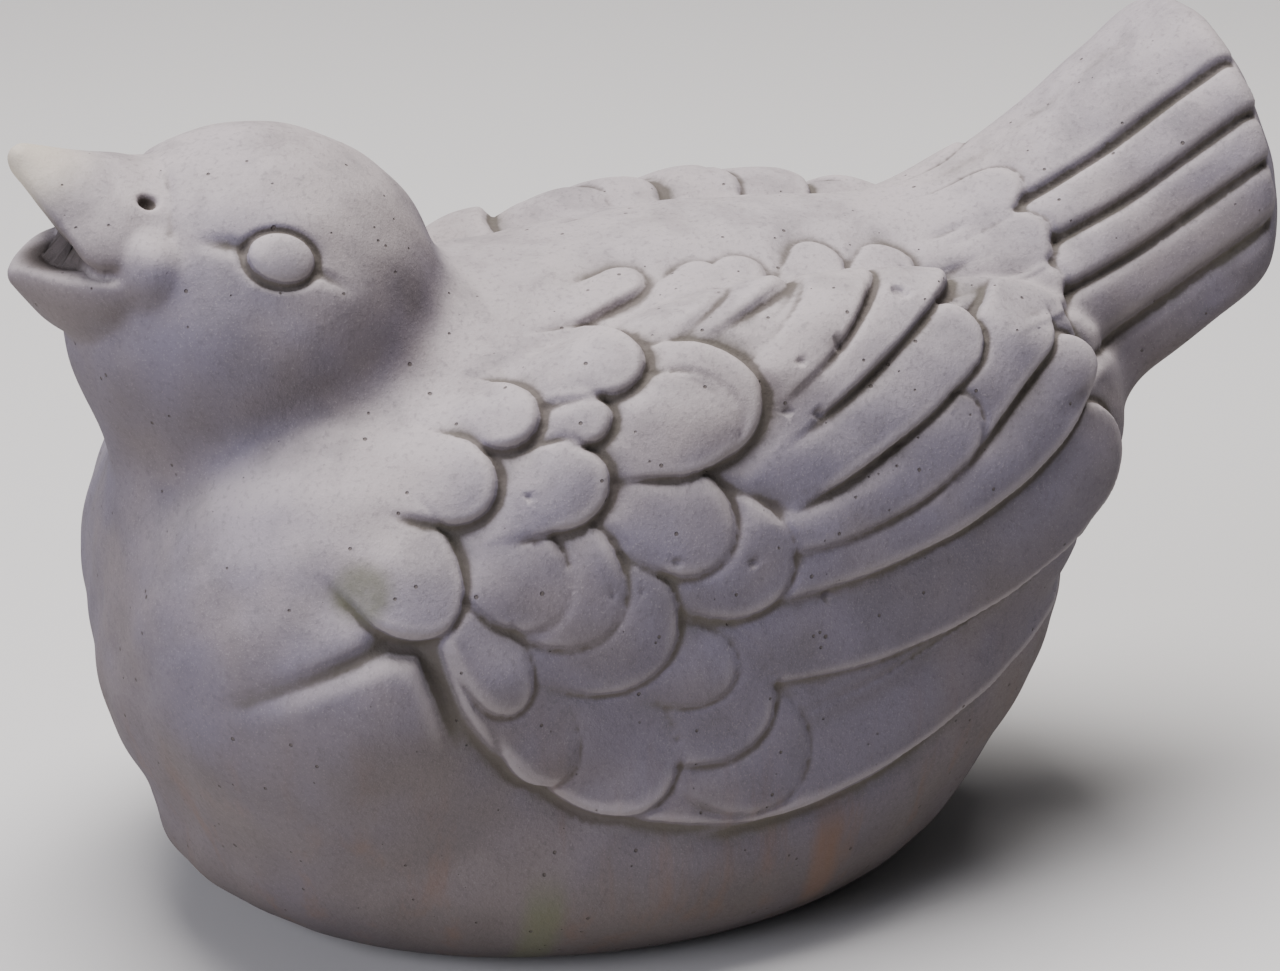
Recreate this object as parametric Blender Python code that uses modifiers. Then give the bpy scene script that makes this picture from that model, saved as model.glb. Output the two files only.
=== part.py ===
# Cast concrete garden bird, one solid piece.
# The bird faces -Y, its left side is +X, up is +Z, and the ground is z = 0.
# Sizes are in millimetres, and the mesh is scaled to metres at the end.
# Spheres and cones are joined and remeshed into a rough body, whose points are eased onto
# one blended form of eggs and horns. Feathers, eye and folds are then carved as heights on
# that form, worked out feather by feather from the rows below.

import bmesh
import bpy
import numpy as np
from mathutils import Matrix, Vector

MM = 0.001
REMESH = (2.0, 1.5)    # voxel sizes of the first and the second remesh
EASE_ROUNDS = (10, 6)  # passes that ease the points onto the form after each
EASE_STEP = 2.5        # furthest that a point moves in one pass
TRIANGLES = 9600       # most triangles in the finished solid
CONCRETE = (0.36, 0.34, 0.35, 1.0)
CONCRETE_ROUGHNESS = 0.9

BELLY_HALF_WIDTH = 64
WING_STANDS_OUT = 1    # the wing's widest point beyond the belly's

# body form: each egg is centre, half sizes, pitch about X, yaw about Z, blend width
BELLY = dict(at=(0, 5, 61), half=(BELLY_HALF_WIDTH, 92, 71))
FOOT = dict(at=(0, -15, 22), half=(60, 76, 27), blend=26)
NAPE = dict(at=(0, -29, 99.5), half=(40, 31, 28), blend=12)
BREAST_LOBE = dict(at=(20, -55.7, 67), half=(47, 44.5, 48), blend=14)
BACK = dict(at=(0, 16, 94.6), half=(46, 69.5, 37), pitch=13.3, blend=10)
RUMP = dict(at=(0, 64.5, 97.5), half=(38, 54.2, 21.8), pitch=39, blend=15)
WING_HALF_THICK = 26
WING_X = BELLY_HALF_WIDTH + WING_STANDS_OUT - WING_HALF_THICK
WING = dict(at=(WING_X, 4.2, 79.7), half=(WING_HALF_THICK, 93.3, 48), pitch=12.7, yaw=2.7, blend=3)
HEAD = dict(at=(0, -69.5, 124.5), half=(35.5, 36, 35), blend=8)
THROAT_TOP = (0, -79.5, 112)
THROAT_FOOT = (0, -75, 53)
THROAT_RADII = (17, 26)
THROAT_BLEND = 12
GROUND_ROUND = 4

# tail: an arched fan, pitched up, open underneath
TAIL_ROOT = (0, 79, 137)
TAIL_PITCH = 36.5
TAIL_HALF_WIDTH = 31
TAIL_FLARE = 0.14
TAIL_DROP = 46
TAIL_LENGTH = 55
TAIL_START = 50
TAIL_HOLLOW = 37
TAIL_END_RADIUS = 47
TAIL_BLEND = 12
TAIL_CORES = ((0, -18, 26, 17), (20, -27, 12, 18), (-20, -27, 12, 18))

# beak: wide and gaping. Each half is a flattened cone cut along its open side
UPPER_ROOT = (0, -98, 138.5)
UPPER_TIP = (0, -111.6, 157.2)
UPPER_RADII = (18.2, 2.7)
UPPER_WIDE = (1.2, 1.16)
UPPER_CUT_AT = (0, -113.8, 155.0)
UPPER_CUT_FACE = (0, 0.82, 0.572)
UPPER_FOOT = 140.4
LOWER_ROOT = (0, -100.5, 136.5)
LOWER_TIP = (0, -113.2, 135.6)
LOWER_RADII = (13.4, 2.8)
LOWER_WIDE = (1.25, 1.65)
LOWER_RIM_AT = (0, -115, 138.0)
LOWER_RIM_FACE = (0, -0.05, 1.0)
SCOOP_ROOT = (0, -99, 140.5)
SCOOP_TIP = (0, -109.2, 140)
SCOOP_RADII = (9.4, 1.6)
MOUTH = dict(at=(0, -104.5, 142), half=(14, 9, 4.2))
GAPE = dict(at=(18.8, -92.8, 139.0), half=(6.0, 5.2, 6.6))
UPPER_BLEND = (1.2, 3.2)
BEAK_OPEN_BACK = -96
LOWER_BLEND = 1.8
BEAK_FRONT = -114
BEAK_LONG = 16

# wing chart: distances aft and up over the flank, measured from a point abreast of the body centre
CHART_EYE = (0, 5, 78)
CHART_LIFT = 12

# feathers as rows of tip aft, tip up, heading in degrees, length, width, and bend where it has one.
# Each row lies over the rows before it
LONG_FEATHERS = (
    (102.8, -22.9, 24.5, 130, 24, 0.0013),
    (102.6, 13.5, 47.6, 126, 30, 0.0059),
    (91.7, 31.2, 48.9, 108, 18, 0.0054),
    (82.7, 42.8, 33.3, 63, 18, -0.0015),
    (53, 21, 52, 59, 14, 0.0113),
    (59, 39.6, 38, 67, 16, 0.0024),
    (63.7, 58, 35, 73, 12.5, 0.0004),
    (43, 60, 47, 54, 12, 0.0019),
    (34, 52, 56, 39, 11, 0.007),
)
COVERTS = (
    (11, -58, -47, 33, 30), (5, -41, -32, 34, 31), (-2, -27, -14, 25, 17), (9, -9.5, -24, 34, 24),
    (-19, -56, -53, 34, 31), (6.6, 25.7, 0, 37, 26), (-14, -19, -20, 36, 31), (-3, -2, -33, 31, 21),
    (-41, -49, -74, 30, 18), (0.6, 21, -5, 33, 20), (-26, -13, -36, 32, 27), (-38, -11, -45, 30, 22),
    (-48, -30, -62, 31, 16), (-23, 25, -3, 20, 11), (-25, 14, 4, 33, 17), (-37, 27, -10, 22, 14),
    (-48, 14, -17, 30, 18), (-61, -10, -45, 34, 26),
    (22.5, 55, 26, 36, 10), (12, 55, 30, 32, 9), (-5, 56, 22, 35, 10), (-14, 36, -1, 32, 15),
)
LONG_CUT = dict(lift=0.6, tilt=2.4, crown=0.7, line=0.9, line_width=1.3, tip=1.25, root=0.7,
                bury=0.3)
COVERT_CUT = dict(lift=2.7, tilt=0.9, crown=0.9, line=0.6, line_width=1.0, tip=1.25, root=0.25,
                  bury=0.0)
EDGE_STEP = 1.8        # width of the slope at a feather's edge
WING_SINK = 0.8
UNDER_WING = 1.4
PLATE = dict(at=(26, 3), half=(93, 64), turn=17, rise=1.0)
SHOULDER_STEP = 2.0    # further drop behind the upper feathers' tips
SHALLOW_TOP = 0.6     # how much shallower the carving is along the wing's upper edge

# tail carving: arch angle of the line under each feather, and the small lobes over their roots
TAIL_LINES = (31, 47, 60, 74)
TAIL_LINE_WIDTHS = (1.0, 1.0, 1.0, 1.6)
TAIL_LINE_DEPTH = 1.6
TAIL_FEATHER_RISE = 1.2
TAIL_MM_PER_DEGREE = 0.66
TAIL_SPREAD = 0.05
TAIL_LOBES = ((65, -9, 11, 22), (53, -4, 11, 22), (41, 1, 11, 22), (22, 4, 12, 26))

# face
EYE = (30, -71.6, 142.9)
EYE_OUT = (0.84, -0.03, 0.54)
EYE_TILT = -17
EYE_HALF = (6.4, 4.9)
EYE_BULGE = 2.1
EYE_RING = 1.3
FURROW_WIDTH = 1.5
FURROW_DEPTH = 1.2
NOSTRIL = (13.5, -92.0, 151)
NOSTRIL_RADIUS = 2.1
NOSTRIL_DEPTH = 3.0

# line round the root of the beak
BEAK_LINE = ((5, -87, 156), (14, -88, 151), (19.5, -89.5, 146), (22, -89, 139))
BEAK_LINE_WIDTH = 0.9
BEAK_LINE_DEPTH = 0.6

# fold of the breast in front of the wing: aft, up and depth along it on the wing chart
FOLD = ((-119, -29, 0.3), (-98, -21, 1.5), (-77, -13.5, 2.3), (-69, -15, 2.8), (-65.5, -25, 2.0),
        (-63.5, -36, 0.6))
FOLD_WIDTH = 2.6
FOLD_SWELL = dict(at=(-84, -28), half=(30, 24), rise=2.2)


def turn(pitch, yaw):
    a = np.radians(pitch)
    b = np.radians(yaw)
    about_x = np.array([[1, 0, 0], [0, np.cos(a), -np.sin(a)], [0, np.sin(a), np.cos(a)]])
    about_z = np.array([[np.cos(b), -np.sin(b), 0], [np.sin(b), np.cos(b), 0], [0, 0, 1]])
    return about_x @ about_z


def ramp(x, start, end):
    t = np.clip((x - start) / (end - start), 0, 1)
    return t * t * (3 - 2 * t)


def join(a, b, width):
    t = np.clip(0.5 + 0.5 * (b - a) / width, 0, 1)
    return b * (1 - t) + a * t - width * t * (1 - t)


def meet(a, b, width):
    return -join(-a, -b, width)


def egg(p, at, half, pitch=0, yaw=0, blend=0):
    q = (p - np.array(at, float)) @ turn(pitch, yaw)
    r = np.array(half, float)
    near = np.linalg.norm(q / r, axis=-1)
    steep = np.linalg.norm(q / (r * r), axis=-1)
    return near * (near - 1) / np.maximum(steep, 1e-9)


def horn(p, start, end, radii):
    a = np.array(start, float)
    axis = np.array(end, float) - a
    square = axis @ axis
    taper = radii[0] - radii[1]
    side = square - taper * taper
    along = (p - a) @ axis
    past = along - square
    off = (((p - a) * square - along[..., None] * axis) ** 2).sum(-1)
    along2 = along * along * square
    past2 = past * past * square
    k = np.sign(taper) * taper * taper * off
    flank = (np.sqrt(off * side / square) + along * taper) / square - radii[0]
    tip = np.sqrt(off + past2) / square - radii[1]
    root = np.sqrt(off + along2) / square - radii[0]
    at_tip = np.sign(past) * side * past2 > k
    at_root = np.sign(along) * side * along2 < k
    return np.where(at_tip, tip, np.where(at_root, root, flank))


def tail_frame(p):
    q = (p - np.array(TAIL_ROOT, float)) @ turn(TAIL_PITCH, 0)
    return q[..., 0], q[..., 1], q[..., 2]


def tail_width(s):
    return TAIL_HALF_WIDTH + np.clip(s, -TAIL_START, 80) * TAIL_FLARE


def tail_form(p):
    x, s, n = tail_frame(p)
    w = tail_width(s)
    arch = np.sqrt((x / w) ** 2 + ((n + TAIL_DROP) / TAIL_DROP) ** 2) - 1
    outer = arch * np.minimum(w, TAIL_DROP) * 0.9
    inner = np.sqrt((x / (w * 0.72)) ** 2 + ((n + TAIL_DROP + TAIL_HOLLOW) / TAIL_DROP) ** 2) - 1
    d = meet(outer, -(n + TAIL_DROP), 6)
    d = meet(d, -inner * 20, 4)
    reach = s + TAIL_END_RADIUS - TAIL_LENGTH
    end = np.sqrt((x * 0.9) ** 2 + reach ** 2 + ((n + 7) * 0.8) ** 2) - TAIL_END_RADIUS
    d = meet(d, end, 4)
    return meet(d, -(s + TAIL_START), 10)


def flatten(p, wide):
    # the same cone, wider across towards its root
    q = p.copy()
    share = np.clip((p[..., 1] - BEAK_FRONT) / BEAK_LONG, 0, 1)
    q[..., 0] = q[..., 0] / (wide[0] + (wide[1] - wide[0]) * share)
    return q


def beak_form(p):
    upper = horn(flatten(p, UPPER_WIDE), UPPER_ROOT, UPPER_TIP, UPPER_RADII)
    upper = meet(upper, -((p - np.array(UPPER_CUT_AT)) @ np.array(UPPER_CUT_FACE)), 1.6)
    upper = meet(upper, UPPER_FOOT - p[..., 2], 3)
    q = flatten(p, LOWER_WIDE)
    lower = horn(q, LOWER_ROOT, LOWER_TIP, LOWER_RADII)
    lower = meet(lower, (p - np.array(LOWER_RIM_AT)) @ np.array(LOWER_RIM_FACE), 1.6)
    scoop = horn(q, SCOOP_ROOT, SCOOP_TIP, SCOOP_RADII)
    gape = egg(p, **GAPE)
    lower = join(lower, gape, 3)
    return join(upper, gape, 3), lower, join(scoop, egg(p, **MOUTH), 1)


def form(p):
    p = p.copy()
    p[..., 0] = np.abs(p[..., 0])
    d = egg(p, **BELLY)
    d = join(d, egg(p, **FOOT), FOOT["blend"])
    d = join(d, egg(p, **NAPE), NAPE["blend"])
    d = join(d, egg(p, **BREAST_LOBE), BREAST_LOBE["blend"])
    d = join(d, horn(p, THROAT_TOP, THROAT_FOOT, THROAT_RADII), THROAT_BLEND)
    d = join(d, egg(p, **BACK), BACK["blend"])
    d = join(d, egg(p, **RUMP), RUMP["blend"])
    d = join(d, egg(p, **WING), WING["blend"])
    d = join(d, tail_form(p), TAIL_BLEND)
    d = join(d, egg(p, **HEAD), HEAD["blend"])
    upper, lower, mouth = beak_form(p)
    d = join(d, lower, LOWER_BLEND)
    d = meet(d, -mouth, 1.2)
    # the upper beak runs flush into the head, and stays sharp over the open mouth
    open_part, flush_part = UPPER_BLEND
    width = open_part + (flush_part - open_part) * ramp(p[..., 1], BEAK_OPEN_BACK - 6, BEAK_OPEN_BACK + 3)
    return join(d, upper, width)


def wing_chart(p):
    lift = np.radians(CHART_LIFT)
    out = np.array([np.cos(lift), 0, np.sin(lift)])
    aft = np.array([0.0, 1.0, 0.0])
    up = np.cross(out, aft)
    arm = p - np.array(CHART_EYE, float)
    far = np.linalg.norm(arm, axis=-1)
    unit = arm / far[..., None]
    swing = np.arccos(np.clip(unit @ out, -1, 1))
    scale = far * swing / np.maximum(np.sin(swing), 1e-6)
    return scale * (unit @ aft), scale * (unit @ up)


def lay_feather(u, v, layers, row, cut):
    # lays one feather over the height so far, and notes where it covers and how near it is
    height, cover, near, sunk = layers
    tip_u, tip_v, heading, length, width = row[:5]
    bend = row[5] if len(row) > 5 else 0
    a = np.radians(heading)
    back = -((u - tip_u) * np.cos(a) + (v - tip_v) * np.sin(a))
    side = (v - tip_v) * np.cos(a) - (u - tip_u) * np.sin(a) - bend * back * back
    half = width / 2
    tip = half * cut["tip"]
    round_off = np.sqrt(np.minimum(back - tip, 0) ** 2 / tip ** 2 + side ** 2 / half ** 2)
    inset = np.where(back > tip, half - np.abs(side), (1 - round_off) * half)
    root = ramp(back, length, length * cut["root"])
    buried = ramp(side / half, cut["bury"], 1.0) * ramp(back, length * 0.25, length * 0.6)
    root = root * (1 - buried)
    top = cut["lift"] * (1 - np.clip(back / length, 0, 1))
    top = top + cut["tilt"] * (0.5 - 0.5 * np.clip(side / half, -1, 1))
    top = top + cut["crown"] * (1 - np.clip(round_off, 0, 1) ** 2)
    line = np.exp(-(inset / cut["line_width"]) ** 2) * (inset <= 0) * ramp(back, length * 0.8, length * 0.4)
    height = height - cut["line"] * line
    inside = ramp(inset, -0.1, EDGE_STEP) * root
    height = height * (1 - inside) + top * inside
    cover = np.maximum(cover, ramp(inset, -0.6, 0.1) * root)
    near = np.maximum(near, np.exp(-(np.minimum(inset, 0) / 5) ** 2) * root)
    sunk = np.maximum(sunk, ramp(inset, -6, 0) * root)
    return height, cover, near, sunk


def groove(u, v, stops, width):
    # soft groove along stops that are given as aft, up and depth
    deep = np.zeros(u.shape)
    for (u0, v0, depth0), (u1, v1, depth1) in zip(stops[:-1], stops[1:]):
        du = u1 - u0
        dv = v1 - v0
        t = np.clip(((u - u0) * du + (v - v0) * dv) / (du * du + dv * dv), 0, 1)
        far = np.hypot(u - u0 - t * du, v - v0 - t * dv)
        deep = np.maximum(deep, (depth0 + (depth1 - depth0) * t) * np.exp(-(far / width) ** 2))
    return deep


def plate_inset(u, v):
    a = np.radians(PLATE["turn"])
    along = (u - PLATE["at"][0]) * np.cos(a) + (v - PLATE["at"][1]) * np.sin(a)
    across = (v - PLATE["at"][1]) * np.cos(a) - (u - PLATE["at"][0]) * np.sin(a)
    far = np.sqrt((along / PLATE["half"][0]) ** 2 + (across / PLATE["half"][1]) ** 2)
    return (1 - far) * PLATE["half"][1]


def wing_relief(p):
    u, v = wing_chart(p)
    low = ramp(v, 5, -15)
    plate = plate_inset(u, v)
    height = PLATE["rise"] * ramp(plate, -0.2, EDGE_STEP) * low
    near = np.exp(-(np.minimum(plate, 0) / 5) ** 2) * low
    layers = (height, ramp(plate, -0.6, 0.1) * low, near, ramp(plate, -6, 0) * low)
    for row in LONG_FEATHERS:
        layers = lay_feather(u, v, layers, row, LONG_CUT)
    for row in COVERTS:
        layers = lay_feather(u, v, layers, row, COVERT_CUT)
    height, cover, near, sunk = layers
    height = height * (1 - SHALLOW_TOP * ramp(v, 42, 58))
    height = height - UNDER_WING * near * (1 - cover) - WING_SINK * sunk
    behind = (1 - cover) * ramp(near, 0.0, 0.5) * ramp(u, 18, 40) * ramp(v, 12, 32)
    return (height - SHOULDER_STEP * behind) * ramp(p[..., 0], 6, 14)


def tail_relief(p):
    x, s, n = tail_frame(p)
    arch = np.degrees(np.arctan2(x / tail_width(s), (n + TAIL_DROP) / TAIL_DROP))
    fan = arch - (s - 15) * TAIL_SPREAD
    height = np.zeros(x.shape)
    for line, width in zip(TAIL_LINES, TAIL_LINE_WIDTHS):
        gap = (fan - line) * TAIL_MM_PER_DEGREE
        height = height - TAIL_LINE_DEPTH * np.exp(-(gap / width) ** 2)
    edges = (0,) + TAIL_LINES
    for upper, lower in zip(edges[:-1], edges[1:]):
        share = np.clip((fan - upper) / (lower - upper), 0, 1)
        band = (fan >= upper) & (fan < lower)
        height = height + band * (TAIL_FEATHER_RISE * share + 0.4 * np.sin(np.pi * share))
    # the carving grows shallow towards the rounded end
    shallow = 0.4 + 0.6 * ramp(s, TAIL_LENGTH, TAIL_LENGTH - 9)
    height = height * shallow * ramp(s, -22, -8) * ramp(arch, 100, 88)
    for middle, tip, half_angle, length in TAIL_LOBES:
        side = (arch - middle) * TAIL_MM_PER_DEGREE
        half = half_angle * TAIL_MM_PER_DEGREE
        back = tip - s
        depth = half * 1.1
        round_off = np.sqrt(np.minimum(back - depth, 0) ** 2 / depth ** 2 + side ** 2 / half ** 2)
        inset = np.where(back > depth, half - np.abs(side), (1 - round_off) * half)
        root = ramp(back, length, length * 0.5)
        height = height - 0.5 * np.exp(-(inset / 0.9) ** 2) * (inset <= 0) * root
        inside = ramp(inset, -0.1, EDGE_STEP) * root
        top = 2.0 * (1 - np.clip(back / length, 0, 1)) + 0.5 * (1 - np.clip(round_off, 0, 1) ** 2)
        height = height * (1 - inside) + inside * top
    return height


def eye_frame(p):
    out = np.array(EYE_OUT) / np.linalg.norm(EYE_OUT)
    aft = np.array([0.0, 1.0, 0.0]) - out * out[1]
    aft = aft / np.linalg.norm(aft)
    up = np.cross(out, aft)
    t = np.radians(EYE_TILT)
    arm = p - np.array(EYE, float)
    along = arm @ (aft * np.cos(t) + up * np.sin(t))
    above = arm @ (up * np.cos(t) - aft * np.sin(t))
    return along, above, arm @ out


def eye_relief(p):
    along, above, out = eye_frame(p)
    near = (out > -12) & (np.hypot(along, above) < 30)
    r = np.sqrt((along / EYE_HALF[0]) ** 2 + (above / EYE_HALF[1]) ** 2)
    height = EYE_BULGE * np.sqrt(np.clip(1 - r * r, 0, 1))
    height = height - EYE_RING * np.exp(-((r - 1.08) / 0.12) ** 2)
    front = np.exp(-((above - 1.0 + 0.04 * (along + 6)) / FURROW_WIDTH) ** 2)
    front = front * ramp(along, -18, -8) * ramp(along, -5.4, -7.0)
    rear = np.exp(-((above + 1.3 + 0.24 * (along - 6.7)) / 1.1) ** 2)
    rear = rear * ramp(along, 16, 8) * ramp(along, 6.2, 7.4)
    return np.where(near, height - FURROW_DEPTH * front - 0.9 * rear, 0)


def nostril_relief(p):
    d = np.linalg.norm(p - np.array(NOSTRIL), axis=-1)
    return -NOSTRIL_DEPTH * ramp(d, NOSTRIL_RADIUS, NOSTRIL_RADIUS * 0.35)


def breast_relief(p):
    height = np.zeros(p.shape[:-1])
    for start, end in zip(BEAK_LINE[:-1], BEAK_LINE[1:]):
        d = horn(p, start, end, (0.1, 0.1))
        height = np.minimum(height, -BEAK_LINE_DEPTH * np.exp(-(d / BEAK_LINE_WIDTH) ** 2))
    u, v = wing_chart(p)
    across = (u - FOLD_SWELL["at"][0]) / FOLD_SWELL["half"][0]
    along = (v - FOLD_SWELL["at"][1]) / FOLD_SWELL["half"][1]
    swell = np.clip(1 - across * across - along * along, 0, 1) ** 2
    return height + FOLD_SWELL["rise"] * swell - groove(u, v, FOLD, FOLD_WIDTH)


def relief(p):
    p = p.copy()
    p[..., 0] = np.abs(p[..., 0])
    aft = p[..., 1] > TAIL_ROOT[1] - 39
    under_root = TAIL_ROOT[2] - p[..., 2]
    x, s, n = tail_frame(p)
    on_tail = ramp(s, -26, -12) * aft * ramp(under_root, 25, 15)
    height = wing_relief(p) * ramp(under_root, -13, -5) * (1 - on_tail)
    top = np.sqrt((x / tail_width(s)) ** 2 + ((n + TAIL_DROP) / TAIL_DROP) ** 2) > 0.93
    height = height + tail_relief(p) * aft * top * ramp(under_root, 41, 25)
    return height + eye_relief(p) + nostril_relief(p) + breast_relief(p)


def solid(p):
    return meet(form(p), -p[..., 2], GROUND_ROUND)


def outward(p):
    # direction in which the form is left behind fastest
    reach = 0.3
    slope = [solid(p + reach * side) - solid(p - reach * side) for side in np.eye(3)]
    n = np.stack(slope, -1)
    return n / np.maximum(np.linalg.norm(n, axis=-1, keepdims=True), 1e-9)


def place(egg_sizes, side):
    # matrix that turns a unit sphere into the egg, on the left or mirrored to the right
    at = Vector(egg_sizes["at"])
    half = egg_sizes["half"]
    r = Matrix(turn(egg_sizes.get("pitch", 0), egg_sizes.get("yaw", 0)).tolist()).to_4x4()
    size = Matrix.Diagonal((half[0], half[1], half[2], 1))
    mirror = Matrix.Diagonal((side, 1, 1, 1))
    return mirror @ Matrix.Translation(at) @ r @ size


def add_ball(bm, matrix):
    bmesh.ops.create_uvsphere(bm, u_segments=40, v_segments=20, radius=1.0, matrix=matrix)


def add_horn(bm, start, end, radii, wide):
    a = Vector(start)
    b = Vector(end)
    axis = b - a
    turn_to = axis.to_track_quat("Z", "Y").to_matrix().to_4x4()
    flat = Matrix.Diagonal((wide, 1, 1, 1))
    middle = flat @ Matrix.Translation((a + b) / 2) @ turn_to
    bmesh.ops.create_cone(bm, cap_ends=True, segments=32, radius1=radii[0], radius2=radii[1],
                          depth=axis.length, matrix=middle)
    for at, radius in ((a, radii[0]), (b, radii[1])):
        add_ball(bm, flat @ Matrix.Translation(at) @ Matrix.Scale(radius, 4))


def add_tail(bm):
    # overlapping eggs that fill the arch of the tail
    back = Matrix(turn(TAIL_PITCH, 0).tolist()).to_4x4()
    for x, n, half_width, half_depth in TAIL_CORES:
        local = Matrix.Translation((x, 0, n))
        size = Matrix.Diagonal((half_width, TAIL_LENGTH, half_depth, 1))
        add_ball(bm, Matrix.Translation(TAIL_ROOT) @ back @ local @ size)


def add_cut_horn(bm, start, end, radii, wide, cuts):
    # a flattened horn, cut off flat and closed along each plane
    part = bmesh.new()
    add_horn(part, start, end, radii, wide)
    for at, face in cuts:
        geometry = part.verts[:] + part.edges[:] + part.faces[:]
        bmesh.ops.bisect_plane(part, geom=geometry, plane_co=at, plane_no=face, clear_outer=True)
        rim = [edge for edge in part.edges if edge.is_boundary]
        bmesh.ops.holes_fill(part, edges=rim, sides=0)
    mesh = bpy.data.meshes.new("cut")
    part.to_mesh(mesh)
    part.free()
    bm.from_mesh(mesh)
    bpy.data.meshes.remove(mesh)


def rough_body(name):
    bm = bmesh.new()
    for sizes in (BELLY, FOOT, NAPE, BACK, RUMP, HEAD):
        add_ball(bm, place(sizes, 1))
    for sizes in (BREAST_LOBE, WING, GAPE):
        for side in (1, -1):
            add_ball(bm, place(sizes, side))
    add_horn(bm, THROAT_TOP, THROAT_FOOT, THROAT_RADII, 1)
    under = [-value for value in UPPER_CUT_FACE]
    upper_cuts = ((UPPER_CUT_AT, under), ((0, 0, UPPER_FOOT), (0, 0, -1)))
    add_cut_horn(bm, UPPER_ROOT, UPPER_TIP, UPPER_RADII, sum(UPPER_WIDE) / 2, upper_cuts)
    lower_cuts = ((LOWER_RIM_AT, LOWER_RIM_FACE),)
    add_cut_horn(bm, LOWER_ROOT, LOWER_TIP, LOWER_RADII, sum(LOWER_WIDE) / 2, lower_cuts)
    add_tail(bm)
    bmesh.ops.scale(bm, vec=(MM, MM, MM), verts=bm.verts)
    mesh = bpy.data.meshes.new(name)
    bm.to_mesh(mesh)
    bm.free()
    return mesh


def mesh_links(obj):
    # both ends of every edge, and how many edges meet at each point
    links = np.empty(len(obj.data.edges) * 2, int)
    obj.data.edges.foreach_get("vertices", links)
    links = links.reshape(-1, 2)
    here = np.concatenate([links[:, 0], links[:, 1]])
    there = np.concatenate([links[:, 1], links[:, 0]])
    return here, there, np.bincount(here, minlength=len(obj.data.vertices))


def soften(values, links, amount):
    # move each value towards the mean of its neighbours
    here, there, share = links
    near = np.bincount(here, weights=values[there], minlength=len(values)) / share
    return values + amount * (near - values)


def settle(obj, rounds):
    # ease the remeshed points onto the form, keeping them evenly spread
    points = np.empty(len(obj.data.vertices) * 3)
    obj.data.vertices.foreach_get("co", points)
    points = points.reshape(-1, 3) / MM
    links = mesh_links(obj)
    for step in range(int(rounds)):
        n = outward(points)
        points = points - n * np.clip(solid(points), -EASE_STEP, EASE_STEP)[:, None]
        if step < rounds - 2:
            drift = np.stack([soften(points[:, k], links, 1) for k in range(3)], -1) - points
            points = points + 0.6 * (drift - n * (drift * n).sum(-1, keepdims=True))
    return points


def move_points(obj, points):
    obj.data.vertices.foreach_set("co", (points * MM).ravel())
    obj.data.update()


def carve(obj, points):
    # lift or sink the points along the form's outward direction by the carving
    height = relief(points) * ramp(points[:, 2], 1, 8)
    links = mesh_links(obj)
    for _ in range(2):
        height = soften(height, links, 0.5)
    points = points + outward(points) * height[:, None]
    points[:, 2] = np.where(points[:, 2] < 0.6, 0.0, points[:, 2])
    move_points(obj, points)


def apply_modifier(obj):
    shown = obj.evaluated_get(bpy.context.evaluated_depsgraph_get())
    done = bpy.data.meshes.new_from_object(shown)
    obj.modifiers.clear()
    obj.data = done


def remesh(obj, size):
    voxels = obj.modifiers.new("join", "REMESH")
    voxels.mode = "VOXEL"
    voxels.voxel_size = size * MM
    apply_modifier(obj)


def reduce(obj, triangles):
    faces = sum(len(f.vertices) - 2 for f in obj.data.polygons)
    collapse = obj.modifiers.new("reduce", "DECIMATE")
    collapse.decimate_type = "COLLAPSE"
    collapse.ratio = min(1.0, triangles / faces)
    collapse.use_collapse_triangulate = True
    apply_modifier(obj)


def concrete():
    mat = bpy.data.materials.new("concrete")
    mat.use_nodes = True
    surface = mat.node_tree.nodes["Principled BSDF"]
    surface.inputs["Base Color"].default_value = CONCRETE
    surface.inputs["Roughness"].default_value = CONCRETE_ROUGHNESS
    surface.inputs["Metallic"].default_value = 0.0
    return mat


def make_bird(collection):
    bird = bpy.data.objects.new("bird", rough_body("bird"))
    collection.objects.link(bird)
    for size, rounds in zip(REMESH, EASE_ROUNDS):
        remesh(bird, size)
        points = settle(bird, rounds)
        move_points(bird, points)
    carve(bird, points)
    reduce(bird, TRIANGLES)
    bird.data.materials.clear()
    bird.data.materials.append(concrete())
    bird.data.shade_smooth()
    return bird


def main():
    for old in list(bpy.data.objects):
        bpy.data.objects.remove(old)
    collection = bpy.data.collections.new("bird_statue")
    bpy.context.scene.collection.children.link(collection)
    make_bird(collection)


main()
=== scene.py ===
import bmesh
import bpy
import numpy as np
from mathutils import Matrix, Vector


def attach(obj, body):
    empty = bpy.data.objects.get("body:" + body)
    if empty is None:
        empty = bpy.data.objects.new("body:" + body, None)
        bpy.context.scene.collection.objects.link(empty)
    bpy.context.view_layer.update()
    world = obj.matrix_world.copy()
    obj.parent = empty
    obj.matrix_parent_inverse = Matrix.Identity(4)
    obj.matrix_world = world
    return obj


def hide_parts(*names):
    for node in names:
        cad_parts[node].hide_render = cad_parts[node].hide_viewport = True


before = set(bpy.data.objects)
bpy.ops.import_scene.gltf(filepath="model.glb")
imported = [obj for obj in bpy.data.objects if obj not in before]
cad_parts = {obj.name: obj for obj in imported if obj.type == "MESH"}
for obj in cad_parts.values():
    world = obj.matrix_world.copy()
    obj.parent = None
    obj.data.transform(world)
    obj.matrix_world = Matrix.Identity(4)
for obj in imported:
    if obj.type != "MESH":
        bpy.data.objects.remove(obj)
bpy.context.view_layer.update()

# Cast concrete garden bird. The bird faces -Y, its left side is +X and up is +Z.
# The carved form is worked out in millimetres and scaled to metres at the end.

MM = 0.001
EASE_STEP = 2.5        # furthest that a point moves in one pass

BELLY_HALF_WIDTH = 64
WING_STANDS_OUT = 1    # the wing's widest point beyond the belly's

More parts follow.
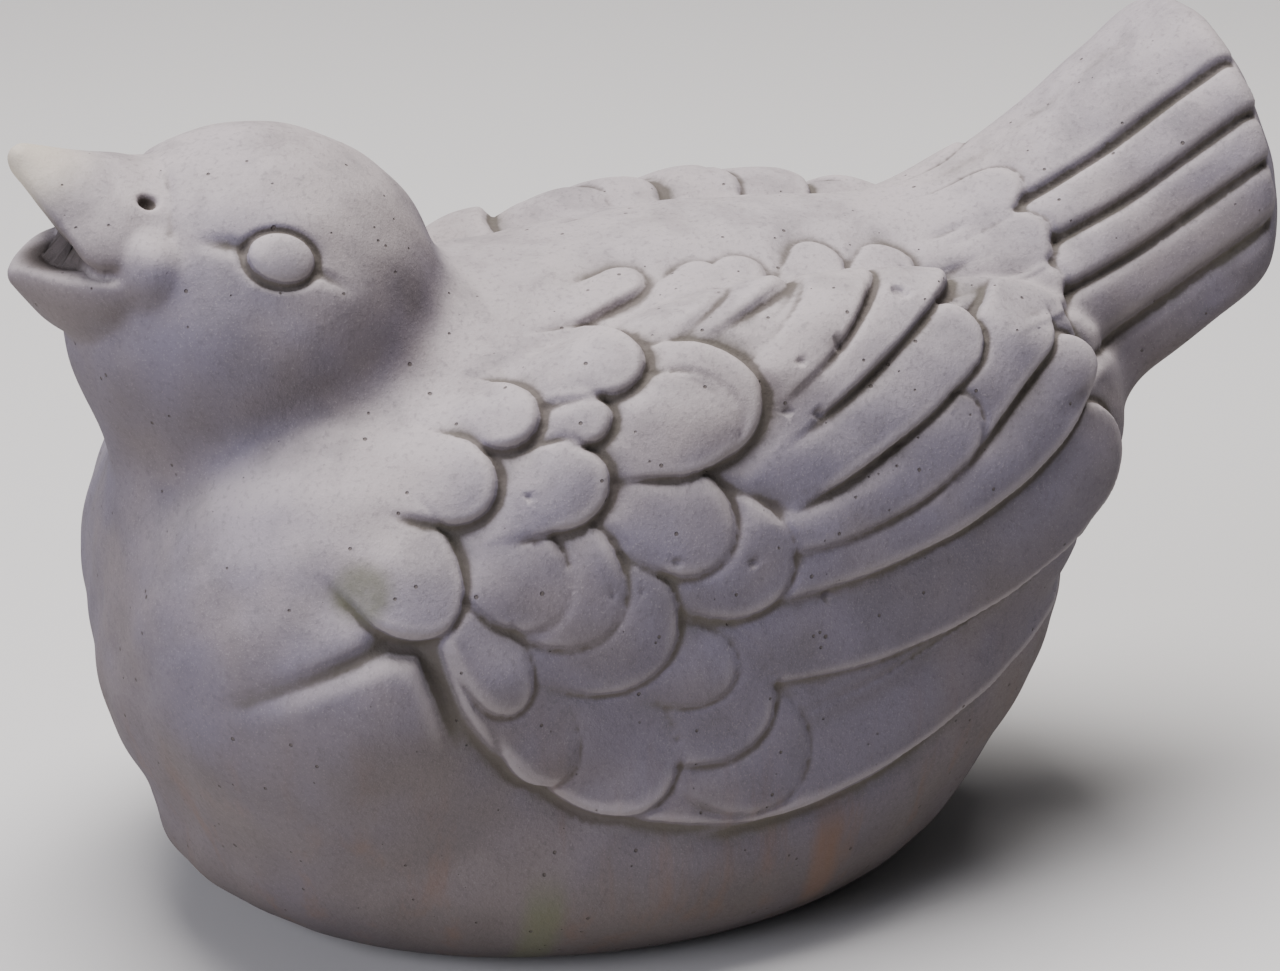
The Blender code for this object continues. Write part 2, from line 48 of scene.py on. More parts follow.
# body form: each egg is centre, half sizes, pitch about X, yaw about Z, blend width
BELLY = dict(at=(0, 5, 61), half=(BELLY_HALF_WIDTH, 92, 71))
FOOT = dict(at=(0, -15, 22), half=(60, 76, 27), blend=26)
NAPE = dict(at=(0, -29, 99.5), half=(40, 31, 28), blend=12)
BREAST_LOBE = dict(at=(20, -55.7, 67), half=(47, 44.5, 48), blend=14)
BACK = dict(at=(0, 16, 94.6), half=(46, 69.5, 37), pitch=13.3, blend=10)
RUMP = dict(at=(0, 64.5, 97.5), half=(38, 54.2, 21.8), pitch=39, blend=15)
WING_HALF_THICK = 26
WING_X = BELLY_HALF_WIDTH + WING_STANDS_OUT - WING_HALF_THICK
WING = dict(at=(WING_X, 4.2, 79.7), half=(WING_HALF_THICK, 93.3, 48), pitch=12.7, yaw=2.7, blend=3)
HEAD = dict(at=(0, -69.5, 124.5), half=(35.5, 36, 35), blend=8)
THROAT_TOP = (0, -79.5, 112)
THROAT_FOOT = (0, -75, 53)
THROAT_RADII = (17, 26)
THROAT_BLEND = 12
GROUND_ROUND = 4
SLOPE_REACH = 0.3      # half the distance over which the form's slope is measured

# tail: an arched fan, pitched up, open underneath
TAIL_ROOT = (0, 79, 137)
TAIL_PITCH = 36.5
TAIL_HALF_WIDTH = 31
TAIL_FLARE = 0.14
TAIL_DROP = 46
TAIL_LENGTH = 55
TAIL_START = 50
TAIL_HOLLOW = 37
TAIL_END_RADIUS = 47
TAIL_BLEND = 12
TAIL_ARCH_SCALE = 0.9
TAIL_HOLLOW_WIDE = 0.72
TAIL_HOLLOW_SCALE = 20
TAIL_FOOT_BLEND = 6
TAIL_RIM_BLEND = 4
TAIL_START_BLEND = 10
TAIL_END_WIDE = 0.9
TAIL_END_DEEP = 0.8
TAIL_END_LIFT = 7
TAIL_CORES = ((0, -18, 26, 17), (20, -27, 12, 18), (-20, -27, 12, 18))

# beak: wide and gaping. Each half is a flattened cone cut along its open side
UPPER_ROOT = (0, -98, 138.5)
UPPER_TIP = (0, -111.6, 157.2)
UPPER_RADII = (18.2, 2.7)
UPPER_WIDE = (1.2, 1.16)
UPPER_CUT_AT = (0, -113.8, 155.0)
UPPER_CUT_FACE = (0, 0.82, 0.572)
UPPER_FOOT = 140.4
LOWER_ROOT = (0, -100.5, 136.5)
LOWER_TIP = (0, -113.2, 135.6)
LOWER_RADII = (13.4, 2.8)
LOWER_WIDE = (1.25, 1.65)
LOWER_RIM_AT = (0, -115, 138.0)
LOWER_RIM_FACE = (0, -0.05, 1.0)
SCOOP_ROOT = (0, -99, 140.5)
SCOOP_TIP = (0, -109.2, 140)
SCOOP_RADII = (9.4, 1.6)
MOUTH = dict(at=(0, -104.5, 142), half=(14, 9, 4.2))
GAPE = dict(at=(18.8, -92.8, 139.0), half=(6.0, 5.2, 6.6))
UPPER_BLEND = (1.2, 3.2)
UPPER_FOOT_BLEND = 3
BEAK_CUT_BLEND = 1.6
BEAK_OPEN_BACK = -96
BEAK_FLUSH = (-6, 3)   # from the open part's back, where the blend starts and ends to widen
LOWER_BLEND = 1.8
GAPE_BLEND = 3
SCOOP_BLEND = 1
MOUTH_BLEND = 1.2
BEAK_FRONT = -114
BEAK_LONG = 16

# wing chart: distances aft and up over the flank, measured from a point abreast of the body centre
CHART_EYE = (0, 5, 78)
CHART_LIFT = 12

# feathers as rows of tip aft, tip up, heading in degrees, length, width, and bend where it has one.
# Each row lies over the rows before it
LONG_FEATHERS = (
    (102.8, -22.9, 24.5, 130, 24, 0.0013),
    (102.6, 13.5, 47.6, 126, 30, 0.0059),
    (91.7, 31.2, 48.9, 108, 18, 0.0054),
    (82.7, 42.8, 33.3, 63, 18, -0.0015),
    (53, 21, 52, 59, 14, 0.0113),
    (59, 39.6, 38, 67, 16, 0.0024),
    (63.7, 58, 35, 73, 12.5, 0.0004),
    (43, 60, 47, 54, 12, 0.0019),
    (34, 52, 56, 39, 11, 0.007),
)
COVERTS = (
    (11, -58, -47, 33, 30), (5, -41, -32, 34, 31), (-2, -27, -14, 25, 17), (9, -9.5, -24, 34, 24),
    (-19, -56, -53, 34, 31), (6.6, 25.7, 0, 37, 26), (-14, -19, -20, 36, 31), (-3, -2, -33, 31, 21),
    (-41, -49, -74, 30, 18), (0.6, 21, -5, 33, 20), (-26, -13, -36, 32, 27), (-38, -11, -45, 30, 22),
    (-48, -30, -62, 31, 16), (-23, 25, -3, 20, 11), (-25, 14, 4, 33, 17), (-37, 27, -10, 22, 14),
    (-48, 14, -17, 30, 18), (-61, -10, -45, 34, 26),
    (22.5, 55, 26, 36, 10), (12, 55, 30, 32, 9), (-5, 56, 22, 35, 10), (-14, 36, -1, 32, 15),
)
LONG_CUT = dict(lift=0.6, tilt=2.1, crown=0.6, line=0.8, line_width=1.0, tip=1.25, root=0.7,
                bury=0.3)
COVERT_CUT = dict(lift=1.8, tilt=0.8, crown=0.9, line=0.6, line_width=0.7, tip=1.25, root=0.25,
                  bury=0.0)
EDGE_START = -0.1      # the slope at a feather's edge starts just outside it
EDGE_STEP = 1.2        # and ends this far inside it
COVER_EDGE = (-0.6, 0.1)
NEAR_REACH = 5         # how far outside a feather the drop beside it still shows
SINK_REACH = 6
WING_SINK = 0.5
UNDER_WING = 0.7
PLATE = dict(at=(26, 3), half=(93, 64), turn=17, rise=1.2)
PLATE_FADE = (5, -15)
SHOULDER_STEP = 2.0    # further drop behind the upper feathers' tips
SHOULDER_AFT = (18, 40)
SHOULDER_UP = (12, 32)
SHOULDER_TOP = (54, 46)
SHALLOW_TOP = 0.75     # how much shallower the carving is along the wing's upper edge
SHALLOW_UP = (40, 54)
WING_ROOT = (6, 14)    # distances off the middle where the carving starts and is full

# tail carving: arch angle of the line under each feather, and the small lobes over their roots
TAIL_LINES = (31, 47, 60, 74)
TAIL_LINE_WIDTHS = (1.0, 1.0, 1.0, 1.6)
TAIL_LINE_DEPTH = 1.6
TAIL_FEATHER_RISE = 1.2
TAIL_MM_PER_DEGREE = 0.66
TAIL_SPREAD = 0.05
TAIL_SPREAD_FROM = 15
TAIL_FEATHER_CROWN = 0.4
TAIL_CUT_START = (-22, -8)
TAIL_CUT_RIM = (100, 88)
TAIL_END_SHALLOW = 0.4
TAIL_END_FADE = 9
TAIL_LOBES = ((65, -9, 11, 22), (53, -4, 11, 22), (41, 1, 11, 22), (22, 4, 12, 26))
LOBE_TIP = 1.1
LOBE_RISE = 2.0
LOBE_CROWN = 0.5
LOBE_LINE = 0.5
LOBE_LINE_WIDTH = 0.9

# where the wing's carving ends and the tail's starts, measured from the tail's root
TAIL_REGION_AFT = -39
TAIL_REGION_START = (-26, -12)
TAIL_REGION_UNDER = (25, 15)
WING_REGION_UNDER = (-13, -5)
TAIL_CARVING_UNDER = (41, 25)
TAIL_TOP_SHARE = 0.93

# face
EYE = (30, -71.6, 142.9)
EYE_OUT = (0.84, -0.03, 0.54)
EYE_TILT = -17
EYE_HALF = (6.4, 4.9)
EYE_BULGE = 2.1
EYE_RING = 1.3
EYE_RING_AT = 1.08
EYE_RING_WIDTH = 0.12
EYE_REACH = 30
EYE_BACK = -12
# furrows before and behind the eye: where along it, height there, slope, width, depth,
# and the distances along at which each one starts, is full, is still full and ends
FURROWS = (
    (-6, 1.0, -0.04, 1.5, 1.2, (-18, -8, -7.0, -5.4)),
    (6.7, -1.3, -0.24, 1.1, 0.9, (6.2, 7.4, 8, 16)),
)
NOSTRIL = (13.5, -92.0, 151)
NOSTRIL_RADIUS = 2.1
NOSTRIL_DEPTH = 3.0
NOSTRIL_FLOOR = 0.35

# line round the root of the beak
BEAK_LINE = ((5, -87, 156), (14, -88, 151), (19.5, -89.5, 146), (22, -89, 139))
BEAK_LINE_WIDTH = 0.9
BEAK_LINE_DEPTH = 0.6
BEAK_LINE_THICK = 0.1

# fold of the breast in front of the wing: aft, up and depth along it on the wing chart
FOLD = ((-119, -29, 0.3), (-98, -21, 1.5), (-77, -13.5, 2.3), (-69, -15, 2.8), (-65.5, -25, 2.0),
        (-63.5, -36, 0.6))
FOLD_WIDTH = 2.6
FOLD_SWELL = dict(at=(-84, -28), half=(30, 24), rise=2.2)

# fine surface
SURFACE_REMESH = (2.0, 1.5, 0.7)
SURFACE_ROUNDS = (10, 6, 5)
SURFACE_TRIANGLES = 190000
SPREAD_SHARE = 0.6     # how far each point slides towards the mean of its neighbours
CARVE_SOFTEN = 2
GROUND_FADE = (1, 8)
GROUND_SNAP = 0.6
GRAIN_FADE = (2, 10)
GRAIN_HEIGHT = 0.10
GRAIN_WAVES = (
    ((0.21, 0.10, 0.16), 0.4), ((-0.12, 0.23, 0.09), 1.9), ((0.07, -0.13, 0.29), 3.1),
    ((0.35, 0.28, -0.22), 5.3), ((-0.41, 0.19, 0.33), 0.7),
)
DEPTH_MARKS = (("crease", 24), ("hollow", 240))

# air bubbles in the wing, as aft, up and radius on the wing chart
BUBBLES = (
    (24, 34, 1.5), (43, 44, 1.9), (60, 52, 1.1), (60, 44, 1.0), (17, -14, 1.3), (15, 31, 1.0),
    (11, 22, 1.0), (17, 21, 1.2), (-14, -3, 0.9), (1, -5, 1.0), (-42, 12, 0.8), (-21, -8, 0.7),
    (-27, -8, 0.7),
)
BUBBLE_DEPTH = 0.75
BUBBLE_SIDE = 20

# concrete and what lies on it; the dark dirt colour also paints shade
LILAC = (0.172, 0.156, 0.205, 1)
WARM = (0.205, 0.176, 0.182, 1)
PALE = (0.50, 0.45, 0.455, 1)
# dark colour of dirt, also used for painted shade in creases, pits, the open mouth and on the
# undersides
DIRT_AND_SHADE = (0.085, 0.070, 0.062, 1)
MOSS = (0.115, 0.120, 0.072, 1)
RUST = (0.17, 0.105, 0.075, 1)
CREAM = (0.62, 0.56, 0.44, 1)
GRAIN = (0.085, 0.078, 0.090, 1)

# noises, as waves in a metre, detail, roughness and distortion
PATCH_NOISE = (22, 3, 0.6, 0.0)
CLOUD_NOISE = (70, 5, 0.65, 0.3)
GRAIN_NOISE = (900, 3, 0.6, 0.0)
SAND_NOISE = (2600, 2, 0.6, 0.0)
STREAK_STRETCH = (140, 140, 22)
STREAK_NOISE = (1, 4, 0.6, 0.0)

# layers, as the values of their guide at which each one starts and is full, and its strength
WARM_PATCHES = (0.35, 0.68, 1.0)
# painted light: surfaces that face up are made paler, as where the light falls
PAINTED_TOP_LIGHT = (0.15, 0.95, 0.75)
DARK_CLOUDS = (0.42, 0.72, 0.34)
DARK_GRAINS = (0.50, 0.74, 0.30)
PALE_GRAINS = (0.56, 0.72, 0.22)
# painted shade: darker towards the ground and on surfaces that face down; the foot darker still
LOW_PAINTED_SHADE = (0.075, 0.0, 0.62)
UNDERSIDE_PAINTED_SHADE = (0.30, -0.45, 0.6)
RUST_STREAKS = (0.5, 0.72, 0.55)
FOOT_DARKENING = (0.03, 0.0, 0.45)
# dirt and painted shade: darker in the creases
CREASE_DIRT_AND_SHADE = (0.05, 0.42, 0.85)
CREASE_RAGGED = 0.35
# moss and painted shade in the wider hollows
MOSS_AND_SHADE_HOLLOWS = (0.1, 1.0, 0.22)
HOLLOW_CLOUDS = (0.25, 0.75)
WORN_EDGES = (-0.06, -0.40, 0.28)

# stains on the near side, as how far aft, how wide, and the heights they run between, in metres
STREAKS = ((-0.033, 0.0035, 0.003, 0.030, MOSS), (0.025, 0.0032, 0.008, 0.036, RUST))
STREAK_SIDE = (0.01, 0.03)
STREAK_EDGES = (2.0, 0.9)
STREAK_FOOT_FADE = 0.004
STREAK_TOP_FADE = 0.012
STREAK_STRENGTH = 0.7

# round spots, as the middle, the radius, the soft edge's width, the strength and the colour: painted
# shade inside the open mouth, and a cream tint at the beak's tip
MOSS_SPOT = ((0.061, -0.067, 0.089), 0.0035, 0.004)
SPOTS_AND_MOUTH_SHADE = (
    ((0.0, -0.1, 0.1405), 0.011, 0.004, 0.8, DIRT_AND_SHADE),
    ((0.0, -0.113, 0.158), 0.004, 0.014, 0.6, CREAM),
)

# pinholes, as cells in a metre and the largest radius in cells
PINHOLES = ((520, 0.24), (230, 0.13))
PINHOLE_CELLS = 0.86   # share of the cells that stay without a pinhole
PINHOLE_SLOPE = 0.45
PINHOLE_DIRT_AND_SHADE = 0.8

# gloss, and the bump's share of each guide
ROUGHNESS = (0.2, 0.8, 0.82, 0.98)
SPECULAR = 0.35
BUMP_GRAIN = 0.5
BUMP_SAND = 0.25
BUMP_CLOUDS = 1.2
BUMP_PINHOLES = 1.6
BUMP_STRENGTH = 0.8
BUMP_DISTANCE = 0.0004

# floor and light
FLOOR_HALF_SIDE = 3.0
FLOOR_COLOUR = (0.66, 0.655, 0.65, 1)
FLOOR_ROUGHNESS = 0.9
SKY_COLOUR = (0.93, 0.95, 1.0, 1)
SKY_STRENGTH = 0.06
LIGHT_AIM = (0, 0, 0.07)
# name, place, side, power and colour
LIGHTS = (
    ("sky", (-0.1, 0.0, 1.5), 1.0, 44, (1.0, 0.965, 0.95)),
    ("front", (0.5, -1.25, 0.62), 0.8, 15, (0.90, 0.90, 1.0)),
)

# photograph's view
VIEW_TURN = 70.0
VIEW_TILT = 20.5
VIEW_FAR = 0.75
VIEW_AT = (0.0, 0.008, 0.0785)
FOCAL_PIXELS = 3750.0
PICTURE_WIDTH = 1280
SENSOR = 36.0


def turn(pitch, yaw):
    a = np.radians(pitch)
    b = np.radians(yaw)
    about_x = np.array([[1, 0, 0], [0, np.cos(a), -np.sin(a)], [0, np.sin(a), np.cos(a)]])
    about_z = np.array([[np.cos(b), -np.sin(b), 0], [np.sin(b), np.cos(b), 0], [0, 0, 1]])
    return about_x @ about_z


def ramp(x, start, end):
    t = np.clip((x - start) / (end - start), 0, 1)
    return t * t * (3 - 2 * t)


def join(a, b, width):
    t = np.clip(0.5 + 0.5 * (b - a) / width, 0, 1)
    return b * (1 - t) + a * t - width * t * (1 - t)


def meet(a, b, width):
    return -join(-a, -b, width)


def egg(p, at, half, pitch=0, yaw=0, blend=0):
    q = (p - np.array(at, float)) @ turn(pitch, yaw)
    r = np.array(half, float)
    near = np.linalg.norm(q / r, axis=-1)
    steep = np.linalg.norm(q / (r * r), axis=-1)
    return near * (near - 1) / np.maximum(steep, 1e-9)


def horn(p, start, end, radii):
    a = np.array(start, float)
    axis = np.array(end, float) - a
    square = axis @ axis
    taper = radii[0] - radii[1]
    side = square - taper * taper
    along = (p - a) @ axis
    past = along - square
    off = (((p - a) * square - along[..., None] * axis) ** 2).sum(-1)
    along2 = along * along * square
    past2 = past * past * square
    k = np.sign(taper) * taper * taper * off
    flank = (np.sqrt(off * side / square) + along * taper) / square - radii[0]
    tip = np.sqrt(off + past2) / square - radii[1]
    root = np.sqrt(off + along2) / square - radii[0]
    at_tip = np.sign(past) * side * past2 > k
    at_root = np.sign(along) * side * along2 < k
    return np.where(at_tip, tip, np.where(at_root, root, flank))


def tail_frame(p):
    q = (p - np.array(TAIL_ROOT, float)) @ turn(TAIL_PITCH, 0)
    return q[..., 0], q[..., 1], q[..., 2]


def tail_width(s):
    return TAIL_HALF_WIDTH + np.clip(s, -TAIL_START, 80) * TAIL_FLARE


def tail_form(p):
    x, s, n = tail_frame(p)
    w = tail_width(s)
    arch = np.sqrt((x / w) ** 2 + ((n + TAIL_DROP) / TAIL_DROP) ** 2) - 1
    outer = arch * np.minimum(w, TAIL_DROP) * TAIL_ARCH_SCALE
    under = (n + TAIL_DROP + TAIL_HOLLOW) / TAIL_DROP
    inner = np.sqrt((x / (w * TAIL_HOLLOW_WIDE)) ** 2 + under ** 2) - 1
    d = meet(outer, -(n + TAIL_DROP), TAIL_FOOT_BLEND)
    d = meet(d, -inner * TAIL_HOLLOW_SCALE, TAIL_RIM_BLEND)
    reach = s + TAIL_END_RADIUS - TAIL_LENGTH
    deep = (n + TAIL_END_LIFT) * TAIL_END_DEEP
    end = np.sqrt((x * TAIL_END_WIDE) ** 2 + reach ** 2 + deep ** 2) - TAIL_END_RADIUS
    d = meet(d, end, TAIL_RIM_BLEND)
    return meet(d, -(s + TAIL_START), TAIL_START_BLEND)


def flatten(p, wide):
    # the same cone, wider across towards its root
    q = p.copy()
    share = np.clip((p[..., 1] - BEAK_FRONT) / BEAK_LONG, 0, 1)
    q[..., 0] = q[..., 0] / (wide[0] + (wide[1] - wide[0]) * share)
    return q


def beak_form(p):
    upper = horn(flatten(p, UPPER_WIDE), UPPER_ROOT, UPPER_TIP, UPPER_RADII)
    above = (p - np.array(UPPER_CUT_AT)) @ np.array(UPPER_CUT_FACE)
    upper = meet(upper, -above, BEAK_CUT_BLEND)
    upper = meet(upper, UPPER_FOOT - p[..., 2], UPPER_FOOT_BLEND)
    q = flatten(p, LOWER_WIDE)
    lower = horn(q, LOWER_ROOT, LOWER_TIP, LOWER_RADII)
    rim = (p - np.array(LOWER_RIM_AT)) @ np.array(LOWER_RIM_FACE)
    lower = meet(lower, rim, BEAK_CUT_BLEND)
    scoop = horn(q, SCOOP_ROOT, SCOOP_TIP, SCOOP_RADII)
    gape = egg(p, **GAPE)
    upper = join(upper, gape, GAPE_BLEND)
    lower = join(lower, gape, GAPE_BLEND)
    return upper, lower, join(scoop, egg(p, **MOUTH), SCOOP_BLEND)


def form(p):
    p = p.copy()
    p[..., 0] = np.abs(p[..., 0])
    d = egg(p, **BELLY)
    d = join(d, egg(p, **FOOT), FOOT["blend"])
    d = join(d, egg(p, **NAPE), NAPE["blend"])
    d = join(d, egg(p, **BREAST_LOBE), BREAST_LOBE["blend"])
    d = join(d, horn(p, THROAT_TOP, THROAT_FOOT, THROAT_RADII), THROAT_BLEND)
    d = join(d, egg(p, **BACK), BACK["blend"])
    d = join(d, egg(p, **RUMP), RUMP["blend"])
    d = join(d, egg(p, **WING), WING["blend"])
    d = join(d, tail_form(p), TAIL_BLEND)
    d = join(d, egg(p, **HEAD), HEAD["blend"])
    upper, lower, mouth = beak_form(p)
    d = join(d, lower, LOWER_BLEND)
    d = meet(d, -mouth, MOUTH_BLEND)
    # the upper beak runs flush into the head, and stays sharp over the open mouth
    open_part, flush_part = UPPER_BLEND
    flush = ramp(p[..., 1], BEAK_OPEN_BACK + BEAK_FLUSH[0], BEAK_OPEN_BACK + BEAK_FLUSH[1])
    return join(d, upper, open_part + (flush_part - open_part) * flush)


def wing_chart(p):
    lift = np.radians(CHART_LIFT)
    out = np.array([np.cos(lift), 0, np.sin(lift)])
    aft = np.array([0.0, 1.0, 0.0])
    up = np.cross(out, aft)
    arm = p - np.array(CHART_EYE, float)
    far = np.linalg.norm(arm, axis=-1)
    unit = arm / far[..., None]
    swing = np.arccos(np.clip(unit @ out, -1, 1))
    scale = far * swing / np.maximum(np.sin(swing), 1e-6)
    return scale * (unit @ aft), scale * (unit @ up)


def lay_feather(u, v, layers, row, cut):
    # lays one feather over the height so far, and notes where it covers and how near it is
    height, cover, near, sunk = layers
    tip_u, tip_v, heading, length, width = row[:5]
    bend = row[5] if len(row) > 5 else 0
    a = np.radians(heading)
    back = -((u - tip_u) * np.cos(a) + (v - tip_v) * np.sin(a))
    side = (v - tip_v) * np.cos(a) - (u - tip_u) * np.sin(a) - bend * back * back
    half = width / 2
    tip = half * cut["tip"]
    round_off = np.sqrt(np.minimum(back - tip, 0) ** 2 / tip ** 2 + side ** 2 / half ** 2)
    inset = np.where(back > tip, half - np.abs(side), (1 - round_off) * half)
    root = ramp(back, length, length * cut["root"])
    buried = ramp(side / half, cut["bury"], 1.0) * ramp(back, length * 0.25, length * 0.6)
    root = root * (1 - buried)
    top = cut["lift"] * (1 - np.clip(back / length, 0, 1))
    top = top + cut["tilt"] * (0.5 - 0.5 * np.clip(side / half, -1, 1))
    top = top + cut["crown"] * (1 - np.clip(round_off, 0, 1) ** 2)
    line = np.exp(-(inset / cut["line_width"]) ** 2) * (inset <= 0)
    line = line * ramp(back, length * 0.8, length * 0.4)
    height = height - cut["line"] * line
    inside = ramp(inset, EDGE_START, EDGE_STEP) * root
    height = height * (1 - inside) + top * inside
    cover = np.maximum(cover, ramp(inset, *COVER_EDGE) * root)
    near = np.maximum(near, np.exp(-(np.minimum(inset, 0) / NEAR_REACH) ** 2) * root)
    sunk = np.maximum(sunk, ramp(inset, -SINK_REACH, 0) * root)
    return height, cover, near, sunk


def groove(u, v, stops, width):
    # soft groove along stops that are given as aft, up and depth
    deep = np.zeros(u.shape)
    for (u0, v0, depth0), (u1, v1, depth1) in zip(stops[:-1], stops[1:]):
        du = u1 - u0
        dv = v1 - v0
        t = np.clip(((u - u0) * du + (v - v0) * dv) / (du * du + dv * dv), 0, 1)
        far = np.hypot(u - u0 - t * du, v - v0 - t * dv)
        deep = np.maximum(deep, (depth0 + (depth1 - depth0) * t) * np.exp(-(far / width) ** 2))
    return deep


def plate_inset(u, v):
    a = np.radians(PLATE["turn"])
    along = (u - PLATE["at"][0]) * np.cos(a) + (v - PLATE["at"][1]) * np.sin(a)
    across = (v - PLATE["at"][1]) * np.cos(a) - (u - PLATE["at"][0]) * np.sin(a)
    far = np.sqrt((along / PLATE["half"][0]) ** 2 + (across / PLATE["half"][1]) ** 2)
    return (1 - far) * PLATE["half"][1]


def wing_relief(p):
    u, v = wing_chart(p)
    low = ramp(v, *PLATE_FADE)
    plate = plate_inset(u, v)
    height = PLATE["rise"] * ramp(plate, 2 * EDGE_START, EDGE_STEP) * low
    cover = ramp(plate, *COVER_EDGE) * low
    near = np.exp(-(np.minimum(plate, 0) / NEAR_REACH) ** 2) * low
    layers = (height, cover, near, ramp(plate, -SINK_REACH, 0) * low)
    for row in LONG_FEATHERS:
        layers = lay_feather(u, v, layers, row, LONG_CUT)
    for row in COVERTS:
        layers = lay_feather(u, v, layers, row, COVERT_CUT)
    height, cover, near, sunk = layers
    height = height * (1 - SHALLOW_TOP * ramp(v, *SHALLOW_UP))
    height = height - UNDER_WING * near * (1 - cover) - WING_SINK * sunk
    behind = (1 - cover) * ramp(near, 0.0, 0.5) * ramp(u, *SHOULDER_AFT)
    behind = behind * ramp(v, *SHOULDER_UP) * ramp(v, *SHOULDER_TOP)
    return (height - SHOULDER_STEP * behind) * ramp(p[..., 0], *WING_ROOT)


def tail_relief(p):
    x, s, n = tail_frame(p)
    arch = np.degrees(np.arctan2(x / tail_width(s), (n + TAIL_DROP) / TAIL_DROP))
    fan = arch - (s - TAIL_SPREAD_FROM) * TAIL_SPREAD
    height = np.zeros(x.shape)
    for line, width in zip(TAIL_LINES, TAIL_LINE_WIDTHS):
        gap = (fan - line) * TAIL_MM_PER_DEGREE
        height = height - TAIL_LINE_DEPTH * np.exp(-(gap / width) ** 2)
    edges = (0,) + TAIL_LINES
    for upper, lower in zip(edges[:-1], edges[1:]):
        share = np.clip((fan - upper) / (lower - upper), 0, 1)
        band = (fan >= upper) & (fan < lower)
        crown = TAIL_FEATHER_CROWN * np.sin(np.pi * share)
        height = height + band * (TAIL_FEATHER_RISE * share + crown)
    # the carving grows shallow towards the rounded end
    full = ramp(s, TAIL_LENGTH, TAIL_LENGTH - TAIL_END_FADE)
    shallow = TAIL_END_SHALLOW + (1 - TAIL_END_SHALLOW) * full
    height = height * shallow * ramp(s, *TAIL_CUT_START) * ramp(arch, *TAIL_CUT_RIM)
    for middle, tip, half_angle, length in TAIL_LOBES:
        side = (arch - middle) * TAIL_MM_PER_DEGREE
        half = half_angle * TAIL_MM_PER_DEGREE
        back = tip - s
        depth = half * LOBE_TIP
        round_off = np.sqrt(np.minimum(back - depth, 0) ** 2 / depth ** 2 + side ** 2 / half ** 2)
        inset = np.where(back > depth, half - np.abs(side), (1 - round_off) * half)
        root = ramp(back, length, length * 0.5)
        line = LOBE_LINE * np.exp(-(inset / LOBE_LINE_WIDTH) ** 2)
        height = height - line * (inset <= 0) * root
        inside = ramp(inset, EDGE_START, EDGE_STEP) * root
        top = LOBE_RISE * (1 - np.clip(back / length, 0, 1))
        top = top + LOBE_CROWN * (1 - np.clip(round_off, 0, 1) ** 2)
        height = height * (1 - inside) + inside * top
    return height


def eye_frame(p):
    out = np.array(EYE_OUT) / np.linalg.norm(EYE_OUT)
    aft = np.array([0.0, 1.0, 0.0]) - out * out[1]
    aft = aft / np.linalg.norm(aft)
    up = np.cross(out, aft)
    t = np.radians(EYE_TILT)
    arm = p - np.array(EYE, float)
    along = arm @ (aft * np.cos(t) + up * np.sin(t))
    above = arm @ (up * np.cos(t) - aft * np.sin(t))
    return along, above, arm @ out


def eye_relief(p):
    along, above, out = eye_frame(p)
    near = (out > EYE_BACK) & (np.hypot(along, above) < EYE_REACH)
    r = np.sqrt((along / EYE_HALF[0]) ** 2 + (above / EYE_HALF[1]) ** 2)
    height = EYE_BULGE * np.sqrt(np.clip(1 - r * r, 0, 1))
    height = height - EYE_RING * np.exp(-((r - EYE_RING_AT) / EYE_RING_WIDTH) ** 2)
    for at, level, slope, width, depth, reach in FURROWS:
        line = np.exp(-((above - level - slope * (along - at)) / width) ** 2)
        line = line * ramp(along, reach[0], reach[1]) * ramp(along, reach[3], reach[2])
        height = height - depth * line
    return np.where(near, height, 0)


def nostril_relief(p):
    d = np.linalg.norm(p - np.array(NOSTRIL), axis=-1)
    return -NOSTRIL_DEPTH * ramp(d, NOSTRIL_RADIUS, NOSTRIL_RADIUS * NOSTRIL_FLOOR)


def breast_relief(p):
    height = np.zeros(p.shape[:-1])
    for start, end in zip(BEAK_LINE[:-1], BEAK_LINE[1:]):
        d = horn(p, start, end, (BEAK_LINE_THICK, BEAK_LINE_THICK))
        height = np.minimum(height, -BEAK_LINE_DEPTH * np.exp(-(d / BEAK_LINE_WIDTH) ** 2))
    u, v = wing_chart(p)
    across = (u - FOLD_SWELL["at"][0]) / FOLD_SWELL["half"][0]
    along = (v - FOLD_SWELL["at"][1]) / FOLD_SWELL["half"][1]
    swell = np.clip(1 - across * across - along * along, 0, 1) ** 2
    return height + FOLD_SWELL["rise"] * swell - groove(u, v, FOLD, FOLD_WIDTH)


def relief(p):
    p = p.copy()
    p[..., 0] = np.abs(p[..., 0])
    aft = p[..., 1] > TAIL_ROOT[1] + TAIL_REGION_AFT
    under_root = TAIL_ROOT[2] - p[..., 2]
    x, s, n = tail_frame(p)
    on_tail = ramp(s, *TAIL_REGION_START) * aft * ramp(under_root, *TAIL_REGION_UNDER)
    height = wing_relief(p) * ramp(under_root, *WING_REGION_UNDER) * (1 - on_tail)
    arch = np.sqrt((x / tail_width(s)) ** 2 + ((n + TAIL_DROP) / TAIL_DROP) ** 2)
    on_top = arch > TAIL_TOP_SHARE
    height = height + tail_relief(p) * aft * on_top * ramp(under_root, *TAIL_CARVING_UNDER)
    return height + eye_relief(p) + nostril_relief(p) + breast_relief(p)


def solid(p):
    return meet(form(p), -p[..., 2], GROUND_ROUND)


def outward(p):
    # direction in which the form is left behind fastest
    steps = SLOPE_REACH * np.eye(3)
    slope = [solid(p + step) - solid(p - step) for step in steps]
    n = np.stack(slope, -1)
    return n / np.maximum(np.linalg.norm(n, axis=-1, keepdims=True), 1e-9)


